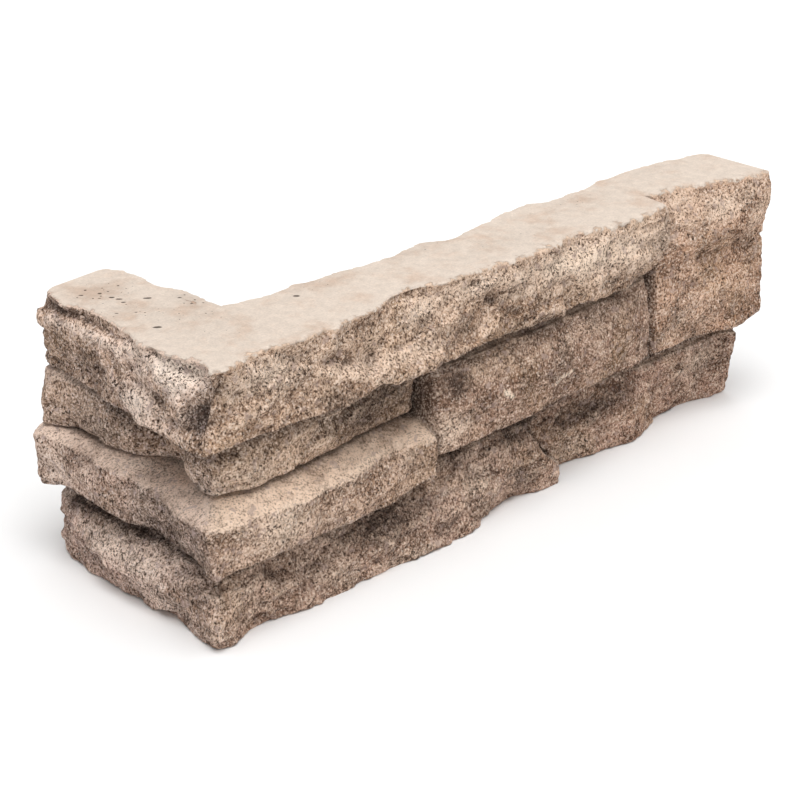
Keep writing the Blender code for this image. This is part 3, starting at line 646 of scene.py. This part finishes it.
def cornerSurface():
    # both walls as one grid of columns, from the short leg's end round the arris to the long
    # leg's end, and the backs behind them
    alongL, zL, oL, paintedShadeL, tintL, roughL = longWall()
    alongS, zS, oS, paintedShadeS, inset = shortWall()
    reach = corner["arrisReach"]
    fadeL = np.clip(1 - alongL / reach, 0, 1) ** 2
    fadeS = np.clip(1 - alongS / reach, 0, 1) ** 2
    settle = np.clip((corner["longLeg"] - alongL) / 4, 0, 1)
    xL = alongL - oS[:, :1] * fadeL + lean(alongL, zL) * settle
    yL = -oL
    xS = -oS + inset
    yS = alongS - oL[:, :1] * fadeS
    # the arris itself is a little rounded
    for along, axis in ((alongL, yL), (alongS, xS)):
        edge = np.clip(along / corner["arrisRound"], 0, 1)
        axis += corner["arrisRound"] * 0.4 * (1 - edge) ** 2

    def joined(short, long):
        # the short leg's columns run towards the arris, and the long leg's has the arris itself
        return np.concatenate([short[..., :0:-1], long], -1)

    def behind(leg, thickness):
        # place along the back, which starts behind the other leg, for a place along the wall
        return thickness + np.abs(place) * (leg - thickness) / leg

    wall = np.stack([joined(xS, xL), joined(yS, yL), joined(zS, zL)], -1)
    place = joined(-alongS, alongL)
    onShort = place < 0
    backAt = np.where(onShort, behind(corner["shortLeg"], corner["longThickness"]),
                      behind(corner["longLeg"], corner["shortThickness"]))
    depth = np.where(onShort, corner["shortThickness"], corner["longThickness"]) - joined(inset, alongL * 0)
    wear = np.where(onShort, flow(shortWear, backAt), flow(longWear, backAt))
    width, height = corner["backNibble"]
    nibble = fractal(np.stack([backAt, place * 0, np.sign(place) * 9], -1), width, 3, 31, 0.7)
    backZ, backOut = backLine(depth, np.maximum(wear + height * nibble, 0))
    back = np.stack([np.where(onShort, backOut, backAt), np.where(onShort, backAt, backOut), backZ], -1)
    # the short leg's free end is a little out of square, and worn at the top and the bed
    skewed = np.clip(-place / corner["shortLeg"], 0, 1) ** 6
    for side in (wall, back):
        x, y, z = np.moveaxis(side, -1, 0)
        edge = (1 - offRim(z, corner["endWornHeight"])) ** 2
        y += (corner["endSkew"] * (x - corner["shortThickness"] / 2) - corner["endWorn"] * edge) * skewed
    short = len(alongS) - 1
    tint = np.concatenate([perStone(cornerStack, short, "tint"), tintL], 1)
    rough = np.concatenate([perStone(cornerStack, short, "rough"), roughL], 1)
    return place, wall, back, tint, rough, joined(paintedShadeS, paintedShadeL)


def carve(place, wall, rough):
    # the split face: crests, dents, chips and grit raised along the surface's own normal;
    # the rims of top and bed move level, so that both stay flat
    s = place[None, :] * np.ones(wall.shape[:2])
    z = wall[..., 2]
    normal = surfaceNormals(wall)
    relief = np.zeros_like(z)
    # painted shade and painted light, with the stone's own patches, from the blotches and the carved paths
    tone = bells(blotches, s, z)
    for path, height, width, darker in carving:
        share = bell(pathDistance(s, z, path), width)
        relief += height * share
        tone += darker * share
    seed = splitFace["seed"]
    stretch = np.array(splitFace["stretch"])
    cell, height = splitFace["warp"]
    warp = np.stack([lattice(wall, cell, seed + 20 + k) for k in range(3)], -1) * height
    fine = np.zeros_like(z)
    for k, (cell, height) in enumerate(splitFace["chips"]):
        fine += height * chips(wall * stretch + warp, cell, seed + k)
    cell, height = splitFace["swell"]
    fine += height * fractal(wall * stretch, cell, 2, seed + 5)
    cell, height = splitFace["grit"]
    fine += height * fractal(wall, cell, 3, seed + 9, 0.65)
    level = np.clip((np.abs(normal[..., 2]) - 0.6) / 0.4, 0, 1)
    relief += fine * rough * (1 - splitFace["ledgeCalm"] * level)
    direction = normal.copy()
    rim = offRim(z, splitFace["rimCalm"])[..., None]
    direction[..., 2:] *= rim
    carved = wall + relief[..., None] * direction
    # how far each point lies under its surroundings, near and wide, for the shader, which paints
    # shade into hollows and highlight onto crests from it
    near = smoothAlong(relief, 2) - relief
    wide = smoothAlong(relief, 6) - relief
    return carved, (near * 0.9 + wide * 0.45) * rim[..., 0] ** 0.5, normal, tone


def jointDepth(wall, place):
    # painted shade: darker where the wall stands behind what is just above and below it, as in a
    # recess where shade falls, but not at the rims of the top and the bed
    o = np.where(place[None, :] < 0, -wall[..., 0], -wall[..., 1])
    return np.clip((smoothAlong(o, 9) - o - 0.6) / shadePaint["behind"], 0, 1) * offRim(wall[..., 2], 5)


def endRings(ring, middle, flatX):
    # an end of the piece: rings at shares of the way from the rim to a spine that runs up
    # the middle of the thickness; the short end is rough, the long end a flat cut
    spine = ring * 0 + np.array(middle)
    spine[:, 2] = np.clip(ring[:, 2], corner["endInset"], corner["height"] - corner["endInset"])
    shares = np.array(corner["endShares"])[:, None, None]
    rings = ring + (spine - ring) * shares
    if not flatX:
        width, height = corner["endBump"]
        bump = fractal(rings, width, 4, 77, 0.6) * height - corner["endSunk"]
        rings[..., 1] += bump * np.minimum(1, shares[..., 0] * 5)
    return rings


def linkRings(index):
    # quads between successive rings, each ring closed on itself
    a = index
    b = np.roll(index, -1, 1)
    return np.stack([a[:-1], a[1:], b[1:], b[:-1]], -1).reshape(-1, 4)


def addObject(name, data):
    made = bpy.data.objects.new(name, data)
    bpy.context.scene.collection.objects.link(made)
    return made


def makeMesh(name, points, faces, values):
    # mesh from arrays, with each point's values kept as attributes for the shader
    mesh = bpy.data.meshes.new(name)
    mesh.from_pydata(points.tolist(), [], faces)
    for key, data in values.items():
        kind, field = ("FLOAT_COLOR", "color") if data.ndim == 2 else ("FLOAT", "value")
        attribute = mesh.attributes.new(key, kind, "POINT")
        attribute.data.foreach_set(field, data.astype(np.float32).ravel())
    mesh.update()
    return addObject(name, mesh)


def makeStone():
    place, wall, back, tint, rough, paintedShade = cornerSurface()
    wall, hollow, normal, tone = carve(place, wall, rough * (1 - 0.5 * paintedShade))
    wall[..., 2] = np.clip(wall[..., 2], 0, corner["height"])
    # where the blotches paint the surface paler, the painted shade of hollows and joints is weaker
    shadeEase = 1 - 0.7 * np.clip(-tone, 0, 1)
    # the top, the back and the bed close each column into a ring
    wallRows = len(wall)
    across = corner["acrossRows"]
    t = (np.arange(1, across) / across)[:, None, None]
    top = wall[-1] + (back[0] - wall[-1]) * t
    bed = back[-1] + (wall[0] - back[-1]) * t
    rings = np.concatenate([wall, top, back, bed])
    spare = len(rings) - wallRows
    run = np.maximum(flow(skinRuns, place), 0.5)
    onWall = {
        "hollow": np.where(hollow > 0, hollow * shadeEase, hollow),
        # painted shade of the joints, creases and recesses together
        "paintedShade": np.maximum(jointDepth(wall, place), paintedShade) * shadeEase,
        # paler on whatever faces up: partly dust, partly painted light from above
        "dustAndLight": np.clip((normal[..., 2] - 0.25) / 0.5, 0, 1),
        "skin": np.clip(1 - (corner["height"] - wall[..., 2]) / run, 0, 1) * corner["lipSkin"],
        "blotch": tone,
        "rough": rough,
    }
    values = {key: np.concatenate([data, np.zeros((spare, len(place)))]) for key, data in onWall.items()}
    values["skin"][wallRows:] = 1
    values["skin"][wallRows + across - 1:wallRows + across + 3] = np.array(corner["wornSkin"])[:, None]
    values["tint"] = np.concatenate([tint, np.repeat(tint[-1:], spare, 0)])
    values["pitted"] = np.clip(bells(pitted, rings[..., 0], rings[..., 1]), 0, 1)
    values["warmth"] = np.clip(place / corner["warmthReach"] + 0.5, 0, 1) * np.ones((len(rings), 1))
    # columns run along the first index from here on, and the rings of both ends join them
    rings = np.moveaxis(rings, 1, 0)
    start = endRings(rings[0], (corner["shortThickness"] / 2, rings[0, :, 1].mean(), 0), False)[::-1]
    finish = endRings(rings[-1], (corner["longLeg"], corner["longThickness"] / 2 + 6, 0), True)
    rings = np.concatenate([start, rings, finish])
    extra = len(start)
    for key, data in values.items():
        data = np.moveaxis(data, 1, 0)
        # the ends show the stone itself, without skin, painted shade or blotches
        share = 0 if key in ("skin", "paintedShade", "hollow", "blotch") else 1
        data = np.concatenate([np.repeat(data[:1], extra, 0) * share, data,
                               np.repeat(data[-1:], extra, 0) * share])
        values[key] = data.reshape(-1, *data.shape[2:])
    points = rings.reshape(-1, 3) * mm + np.array([shiftX, shiftY, 0])
    points = np.clip(points, *np.array(cadBox))
    index = np.arange(len(points)).reshape(rings.shape[:2])
    faces = linkRings(index).tolist() + [index[0][::-1].tolist(), index[-1].tolist()]
    stone = makeMesh("stone_corner", points, faces, values)
    print("stone corner:", len(points), "points", sum(len(f) - 2 for f in faces), "triangles")
    return stone


# what the eye gets from the cast stone: colours, and the sizes of its patterns in millimetres
castStone = {
    "skin": "#DBCCBE",          # cement skin of the flat top, cream
    "skinStain": "#C8AB95",     # peach bloom in the skin
    "shade": "#54463D",         # painted shade: the brown in hollows, joints and under overhangs, and of the dark blotches
    "hole": "#35281F",          # open pits and crevices, and the deepest painted shade in the joints
    "mottle": "#B8AA9A",        # multiplies the stone's tint in patches
    "ochre": "#B7976F",
    "grey": "#A3937F",
    "pebble": "#A3928A",        # smooth mauve grains of the aggregate
    "paleGrain": "#ECDCCB",
    "paintedHighlight": "#F6E7D0",        # painted highlight: the palest tone, on facets and ledges where the light falls brightest
    "darkGrain": "#4C3A2F",
    "dustAndLight": "#E8D1B9",          # pale of dust on whatever faces up, and of painted light on lit faces, crests and blotches
    "grainSize": 0.55,
    "gritSize": 0.80,
    "holeSize": 1.1,
    "creviceSize": 2.2,
    "pebbleSize": 3.0,
    "clotSize": 4.0,
    "mottleSize": 13.0,
    "stainSize": 34.0,
    "pinholeSpacing": 2.0,
    "poreWarp": 1.6,            # how far a pore's outline strays from round
    "poreWay": (0.72, -0.69, 0.0),  # the way the larger pores are drawn out
    "poreThin": 1.9,            # their length over their width
    "lengthwise": 0.8,          # below one draws grit and crevices out along the height
    "warm": (1.09, 1.04, 1.04),     # painted light: the long leg tinted as if lit by warmer light than the short one
    "cool": (1.10, 1.075, 1.15),
    "bumpHeight": 0.7,
}


def addNode(tree, kind, settings, inputs):
    # adds one node: settings are its own fields, and each input is a plain value or
    # another node's output to link from
    node = tree.nodes.new("ShaderNode" + kind)
    for name, value in settings.items():
        setattr(node, name, value)
    for name, value in inputs.items():
        if isinstance(value, bpy.types.NodeSocket):
            tree.links.new(value, node.inputs[name])
        else:
            node.inputs[name].default_value = value
    return node


def addMaterial(name):
    material = bpy.data.materials.new(name)
    material.use_nodes = True
    return material, material.node_tree, material.node_tree.nodes["Principled BSDF"]


def castStoneMaterial():
    # cement cast with crushed mineral grit and oxide stain, never polished: matt, grainy,
    # brown in its hollows, pale on its crests, with a smooth cream skin on the flat top
    material, tree, shader = addMaterial("cast_stone")
    where = addNode(tree, "TexCoord", {}, {}).outputs["Object"]
    soft = "SMOOTHSTEP"

    def mark(name, output="Fac"):
        # what the mesh keeps at each point under this name
        return addNode(tree, "Attribute", {"attribute_name": name}, {}).outputs[output]

    def vector(operation, inputs, output="Vector"):
        return addNode(tree, "VectorMath", {"operation": operation}, inputs).outputs[output]

    def noise(size, detail, roughness, place=where, output="Fac"):
        # smooth noise with patches of about this size
        return addNode(tree, "TexNoise", {}, {"Vector": place, "Scale": 1000 / castStone[size],
                                              "Detail": detail, "Roughness": roughness}).outputs[output]

    def cells(size, place, dimensions, channel):
        # cells of about this size: the distance from their middles, and a random share of each
        made = addNode(tree, "TexVoronoi", {"voronoi_dimensions": dimensions},
                       {"Vector": place, "Scale": 1000 / castStone[size]})
        shares = addNode(tree, "SeparateColor", {}, {"Color": made.outputs["Color"]})
        return made.outputs["Distance"], shares.outputs[channel]

    def ramp(value, low, high, start=0.0, end=1.0, ease="LINEAR"):
        # value from low to high gives start to end, and stays level beyond
        return addNode(tree, "MapRange", {"interpolation_type": ease},
                       {"Value": value, "From Min": low, "From Max": high,
                        "To Min": start, "To Max": end}).outputs["Result"]

    def maths(operation, first, second, third=0.0):
        return addNode(tree, "Math", {"operation": operation},
                       {0: first, 1: second, 2: third}).outputs["Value"]

    def blend(share, under, over, way="MIX"):
        return addNode(tree, "Mix", {"data_type": "RGBA", "blend_type": way},
                       {0: share, 6: under, 7: over}).outputs[2]

    def coat(under, share, name):
        return blend(share, under, colour(castStone[name]))

    names = ("hollow", "paintedShade", "dustAndLight", "skin", "blotch", "rough", "warmth", "pitted")
    hollow, paintedShade, dustAndLight, skin, blotch, rough, warmth, pitting = [mark(name) for name in names]
    upright = vector("MULTIPLY", {0: where, 1: (1.0, 1.0, castStone["lengthwise"])})
    mottle = noise("mottleSize", 6.0, 0.68)
    stain = noise("stainSize", 3.0, 0.6)
    clot = noise("clotSize", 4.0, 0.65)
    pebble = noise("pebbleSize", 2.0, 0.4)
    rift = noise("creviceSize", 4.0, 0.7, upright)
    grit = noise("gritSize", 3.0, 0.7, upright)

    # tone of the stone: mottled, grey or ochre in places; darker or paler by blotches, much of that
    # painted shade and painted light; paler on whatever faces up, partly dust and partly painted light;
    # painted highlight on crests, and painted shade in hollows, joints, recesses and under overhangs
    # paler on whatever faces up, partly dust and partly painted light from above, less so in the dark
    # blotches
    upwardDustLight = maths("MULTIPLY", dustAndLight, ramp(mottle, 0.36, 0.58, 0.45, 0.95, soft))
    upwardDustLight = maths("MULTIPLY", upwardDustLight, ramp(blotch, 0.0, 0.8, 1.0, 0.1))
    tone = blend(ramp(mottle, 0.62, 0.40, 0.0, 0.8), mark("tint", "Color"),
                 colour(castStone["mottle"]), "MULTIPLY")
    for share, name in (
            (ramp(stain, 0.50, 0.66, 0.0, 0.35, soft), "ochre"),
            (ramp(stain, 0.48, 0.34, 0.0, 0.35, soft), "grey"),
            # painted shade and painted light from the blotches and carved paths, with the stone's own
            # patches
            (ramp(blotch, 0.0, 1.0, 0.0, 0.85), "shade"),
            (ramp(blotch, 0.0, -1.0), "dustAndLight"),
            (ramp(blotch, -0.9, -1.8), "paintedHighlight"),
            (upwardDustLight, "dustAndLight"),
            # painted highlight on crests and painted shade in hollows
            (ramp(hollow, 0.0, -1.2, 0.0, 0.6), "dustAndLight"),
            (ramp(hollow, 0.0, 1.1, 0.0, 0.6), "shade"),
            # painted shade in joints, recesses and under overhangs
            (ramp(paintedShade, 0.0, 0.7, 0.0, 0.75), "shade"),
            (ramp(paintedShade, 0.6, 1.0, 0.0, 0.85), "hole")):
        tone = coat(tone, share, name)

    # grit: clots of darker and paler grains, every grain with its own tone; what faces up, partly
    # dusty and partly painted as lit, hides most of it, and the pebbles of the aggregate and the lip
    # under the skin are smooth
    strewn = maths("MULTIPLY_ADD", ramp(clot, 0.35, 0.65, -0.5, 0.5), 0.10, grit)
    opened = ramp(blotch, -0.2, 0.8)
    pale = maths("MULTIPLY", ramp(strewn, 0.53, 0.62, 0.0, 0.7), maths("SUBTRACT", 1.0, opened))
    light = maths("SUBTRACT", maths("ADD", pale, 1.0), ramp(strewn, 0.465, 0.37))
    grainPick = cells("grainSize", where, "3D", "Red")[1]
    light = maths("MULTIPLY", light, ramp(grainPick, 0.0, 1.0, 0.72, 1.32))
    smooth = ramp(pebble, 0.62, 0.68, 0.0, 0.6, soft)
    bare = maths("MULTIPLY_ADD", dustAndLight, ramp(rough, 0.5, 0.9, -0.5, -0.1), 1.0)
    bare = maths("MULTIPLY", bare, maths("SUBTRACT", 1.0, smooth))
    bare = maths("MULTIPLY", bare, ramp(skin, 0.0, 0.4, 1.0, 0.3))
    light = maths("MULTIPLY_ADD", maths("SUBTRACT", light, 1.0), bare, 1.0)
    tone = coat(tone, smooth, "pebble")
    tone = coat(tone, ramp(skin, 0.0, 0.5, 0.0, 0.35), "dustAndLight")
    tone = coat(tone, ramp(light, 1.0, 1.8, 0.0, 0.9), "paleGrain")
    tone = coat(tone, ramp(light, 1.0, 0.3, 0.0, 0.9), "darkGrain")

    # crevices wind along the middle level of a noise, and pits gather beside them; both keep
    # to the darker clots and the dark patches
    clump = maths("MAXIMUM", ramp(mottle, 0.56, 0.40, 0.0, 0.7), opened)
    vein = maths("ABSOLUTE", maths("SUBTRACT", rift, 0.5), 0.0)
    crevice = maths("MULTIPLY", ramp(vein, 0.0, 0.04, 0.9, 0.0), maths("MULTIPLY", bare, clump))
    holes = maths("MULTIPLY_ADD", clump, 0.07, noise("holeSize", 3.0, 0.6))
    holes = maths("MULTIPLY_ADD", warmth, -0.025, holes)
    holeShare = maths("MULTIPLY", ramp(holes, 0.62, 0.655, 0.0, 0.95, soft), bare)
    holeShare = maths("MAXIMUM", crevice, holeShare)
    tone = coat(tone, holeShare, "hole")
    # painted light: the long leg is tinted warmer and the short leg cooler, as the light fell on each side
    cast = blend(warmth, (*castStone["cool"], 1.0), (*castStone["warm"], 1.0))
    tone = vector("MULTIPLY", {0: tone, 1: cast})

    # the top's skin: cream, with peach bloom, and pores and pinholes where it is pitted
    skinSum = maths("ADD", skin, ramp(clot, 0.35, 0.65, -0.3, 0.3))
    skinSum = maths("MULTIPLY_ADD", ramp(pitting, 0.85, 1.0), -0.65, skinSum)
    skinShare = ramp(skinSum, 0.30, 0.50, 0.0, 1.0, soft)
    bloom = maths("MULTIPLY_ADD", pitting, 0.10, mottle)
    skinTone = coat(colour(castStone["skin"]), ramp(bloom, 0.46, 0.74, 0.0, 0.6, soft), "skinStain")
    for factor in (ramp(clot, 0.30, 0.70, 0.90, 1.08), ramp(grit, 0.30, 0.70, 0.90, 1.10),
                   ramp(pitting, 0.0, 1.0, 1.0, 0.86)):
        skinTone = vector("SCALE", {0: skinTone, "Scale": factor})
    stray = noise("clotSize", 3.0, 0.5, output="Color")
    strayed = vector("MULTIPLY_ADD", {0: stray, 1: (castStone["poreWarp"] * mm,) * 3, 2: where})
    fromPin, pinPick = cells("pinholeSpacing", strayed, "2D", "Green")
    pinSize = maths("MULTIPLY", ramp(pinPick, 0.70, 1.0, 0.0, 0.34), ramp(pitting, 0.10, 0.8))
    poreShare = ramp(maths("SUBTRACT", pinSize, fromPin), 0.0, 0.05, 0.0, 0.85)
    # the larger pores are drawn out one way: places are taken along that way and across it,
    # and count more across, so that equal distance is a long oval
    length = Vector(castStone["poreWay"]).normalized()
    width = Vector((-length.y, length.x, 0)) * castStone["poreThin"]
    laid = addNode(tree, "CombineXYZ", {}, {"X": vector("DOT_PRODUCT", {0: strayed, 1: length}, "Value"),
                                            "Y": vector("DOT_PRODUCT", {0: strayed, 1: width}, "Value")})
    for poreX, poreY, reach in pores:
        middle = Vector((poreX * mm + shiftX, poreY * mm + shiftY, 0))
        middle = (middle.dot(length), middle.dot(width), 0)
        gap = vector("DISTANCE", {0: laid.outputs["Vector"], 1: middle}, "Value")
        poreShare = maths("MAXIMUM", poreShare, ramp(gap, reach * mm, reach * 0.7 * mm, 0.0, 0.9))
    tone = blend(skinShare, tone, coat(skinTone, poreShare, "hole"))

    # relief too fine for the mesh
    height = maths("MULTIPLY_ADD", grit, 0.35, rift)
    height = maths("MULTIPLY_ADD", holeShare, -0.4, height)
    height = maths("MULTIPLY", height, ramp(skinShare, 0.0, 1.0, 1.0, 0.12))
    bump = addNode(tree, "Bump", {}, {"Strength": 1.0, "Distance": castStone["bumpHeight"] * mm,
                                      "Height": height})
    tree.links.new(bump.outputs["Normal"], shader.inputs["Normal"])
    tree.links.new(tone, shader.inputs["Base Color"])
    shader.inputs["Roughness"].default_value = 0.93
    shader.inputs["Specular IOR Level"].default_value = 0.25
    return material


# where the piece's own outer corner lies in the frame
mounts = {m["name"]: m["pos_m"] for m in frame["record"]["mounts"]}
shiftX = mounts["long_end"][0] - corner["longLeg"] * mm
shiftY = mounts["back_long"][1] - corner["longThickness"] * mm

stone = makeStone()
stone.data.materials.append(castStoneMaterial())
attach(stone, "root")
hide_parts("cladding_corner")
print("stone dressed")


# the camera as it stood for the photo: its position counts from the piece's outer corner
cameraPlace = {
    "azimuth": -43.994,
    "elevation": 24.406,
    "roll": 0.184,
    "position": (-346.544, -445.808, 342.999),
    "focal": 2000.0,
    "picture": 805.0,
    "sensor": 36.0,
}
cameraData = bpy.data.cameras.new("camera")
cameraData.sensor_width = cameraPlace["sensor"]
cameraData.lens = cameraPlace["focal"] / cameraPlace["picture"] * cameraPlace["sensor"]
camera = addObject("camera", cameraData)
camera.location = [p * mm for p in cameraPlace["position"]]
camera.location.x += shiftX
camera.location.y += shiftY
turn = Matrix.Rotation(math.radians(cameraPlace["azimuth"]), 4, "Z")
tilt = Matrix.Rotation(math.radians(90 - cameraPlace["elevation"]), 4, "X")
roll = Matrix.Rotation(math.radians(cameraPlace["roll"]), 4, "Z")
camera.rotation_euler = (turn @ tilt @ roll).to_euler()
bpy.context.scene.camera = camera


# floor, sky and lamps: soft light from above, a little from the camera's side, and a weak
# lamp over the floor behind the piece
studio = {
    "floor": "#FCFCFC",
    "floorHalf": 6.0,           # metres, like all lengths here
    "skyLight": 0.34,
    "lamps": (
        # place, the point it is aimed at, size, spread in degrees, watts
        ((-0.55, -0.75, 2.8), (0.0, 0.0, 0.0), 2.0, 180, 78.0),
        ((0.85, 0.85, 1.4), (0.85, 0.85, 0.0), 1.0, 80, 3.5),
    ),
}
floorCorners = np.array([(-1, -1, 0), (1, -1, 0), (1, 1, 0), (-1, 1, 0)]) * studio["floorHalf"]
floor = makeMesh("floor", floorCorners, [(0, 1, 2, 3)], {})
floorMaterial, floorTree, floorShader = addMaterial("white_floor")
floorShader.inputs["Base Color"].default_value = colour(studio["floor"])
floorShader.inputs["Roughness"].default_value = 0.95
floor.data.materials.append(floorMaterial)

world = bpy.data.worlds.new("studio")
bpy.context.scene.world = world
world.use_nodes = True
sky = world.node_tree
# rays that see the sky itself find it white, and all others find it as strong as skyLight
path = addNode(sky, "LightPath", {}, {})
seen = path.outputs["Is Camera Ray"]
for ray in ("Is Glossy Ray", "Is Transmission Ray"):
    seen = addNode(sky, "Math", {"operation": "MAXIMUM"}, {0: seen, 1: path.outputs[ray]}).outputs["Value"]
strength = addNode(sky, "MapRange", {},
                   {"Value": seen, "To Min": studio["skyLight"], "To Max": 1.0}).outputs["Result"]
sky.nodes["Background"].inputs["Color"].default_value = (1, 1, 1, 1)
sky.links.new(strength, sky.nodes["Background"].inputs["Strength"])

for number, (spot, aim, size, spread, watts) in enumerate(studio["lamps"]):
    lampData = bpy.data.lights.new("softbox" + str(number), "AREA")
    lampData.size = size
    lampData.spread = math.radians(spread)
    lampData.energy = watts
    lamp = addObject("softbox" + str(number), lampData)
    lamp.location = spot
    lamp.rotation_euler = (Vector(aim) - Vector(spot)).to_track_quat("-Z", "Y").to_euler()

bpy.context.scene.view_settings.view_transform = "Standard"
print("camera and light set")
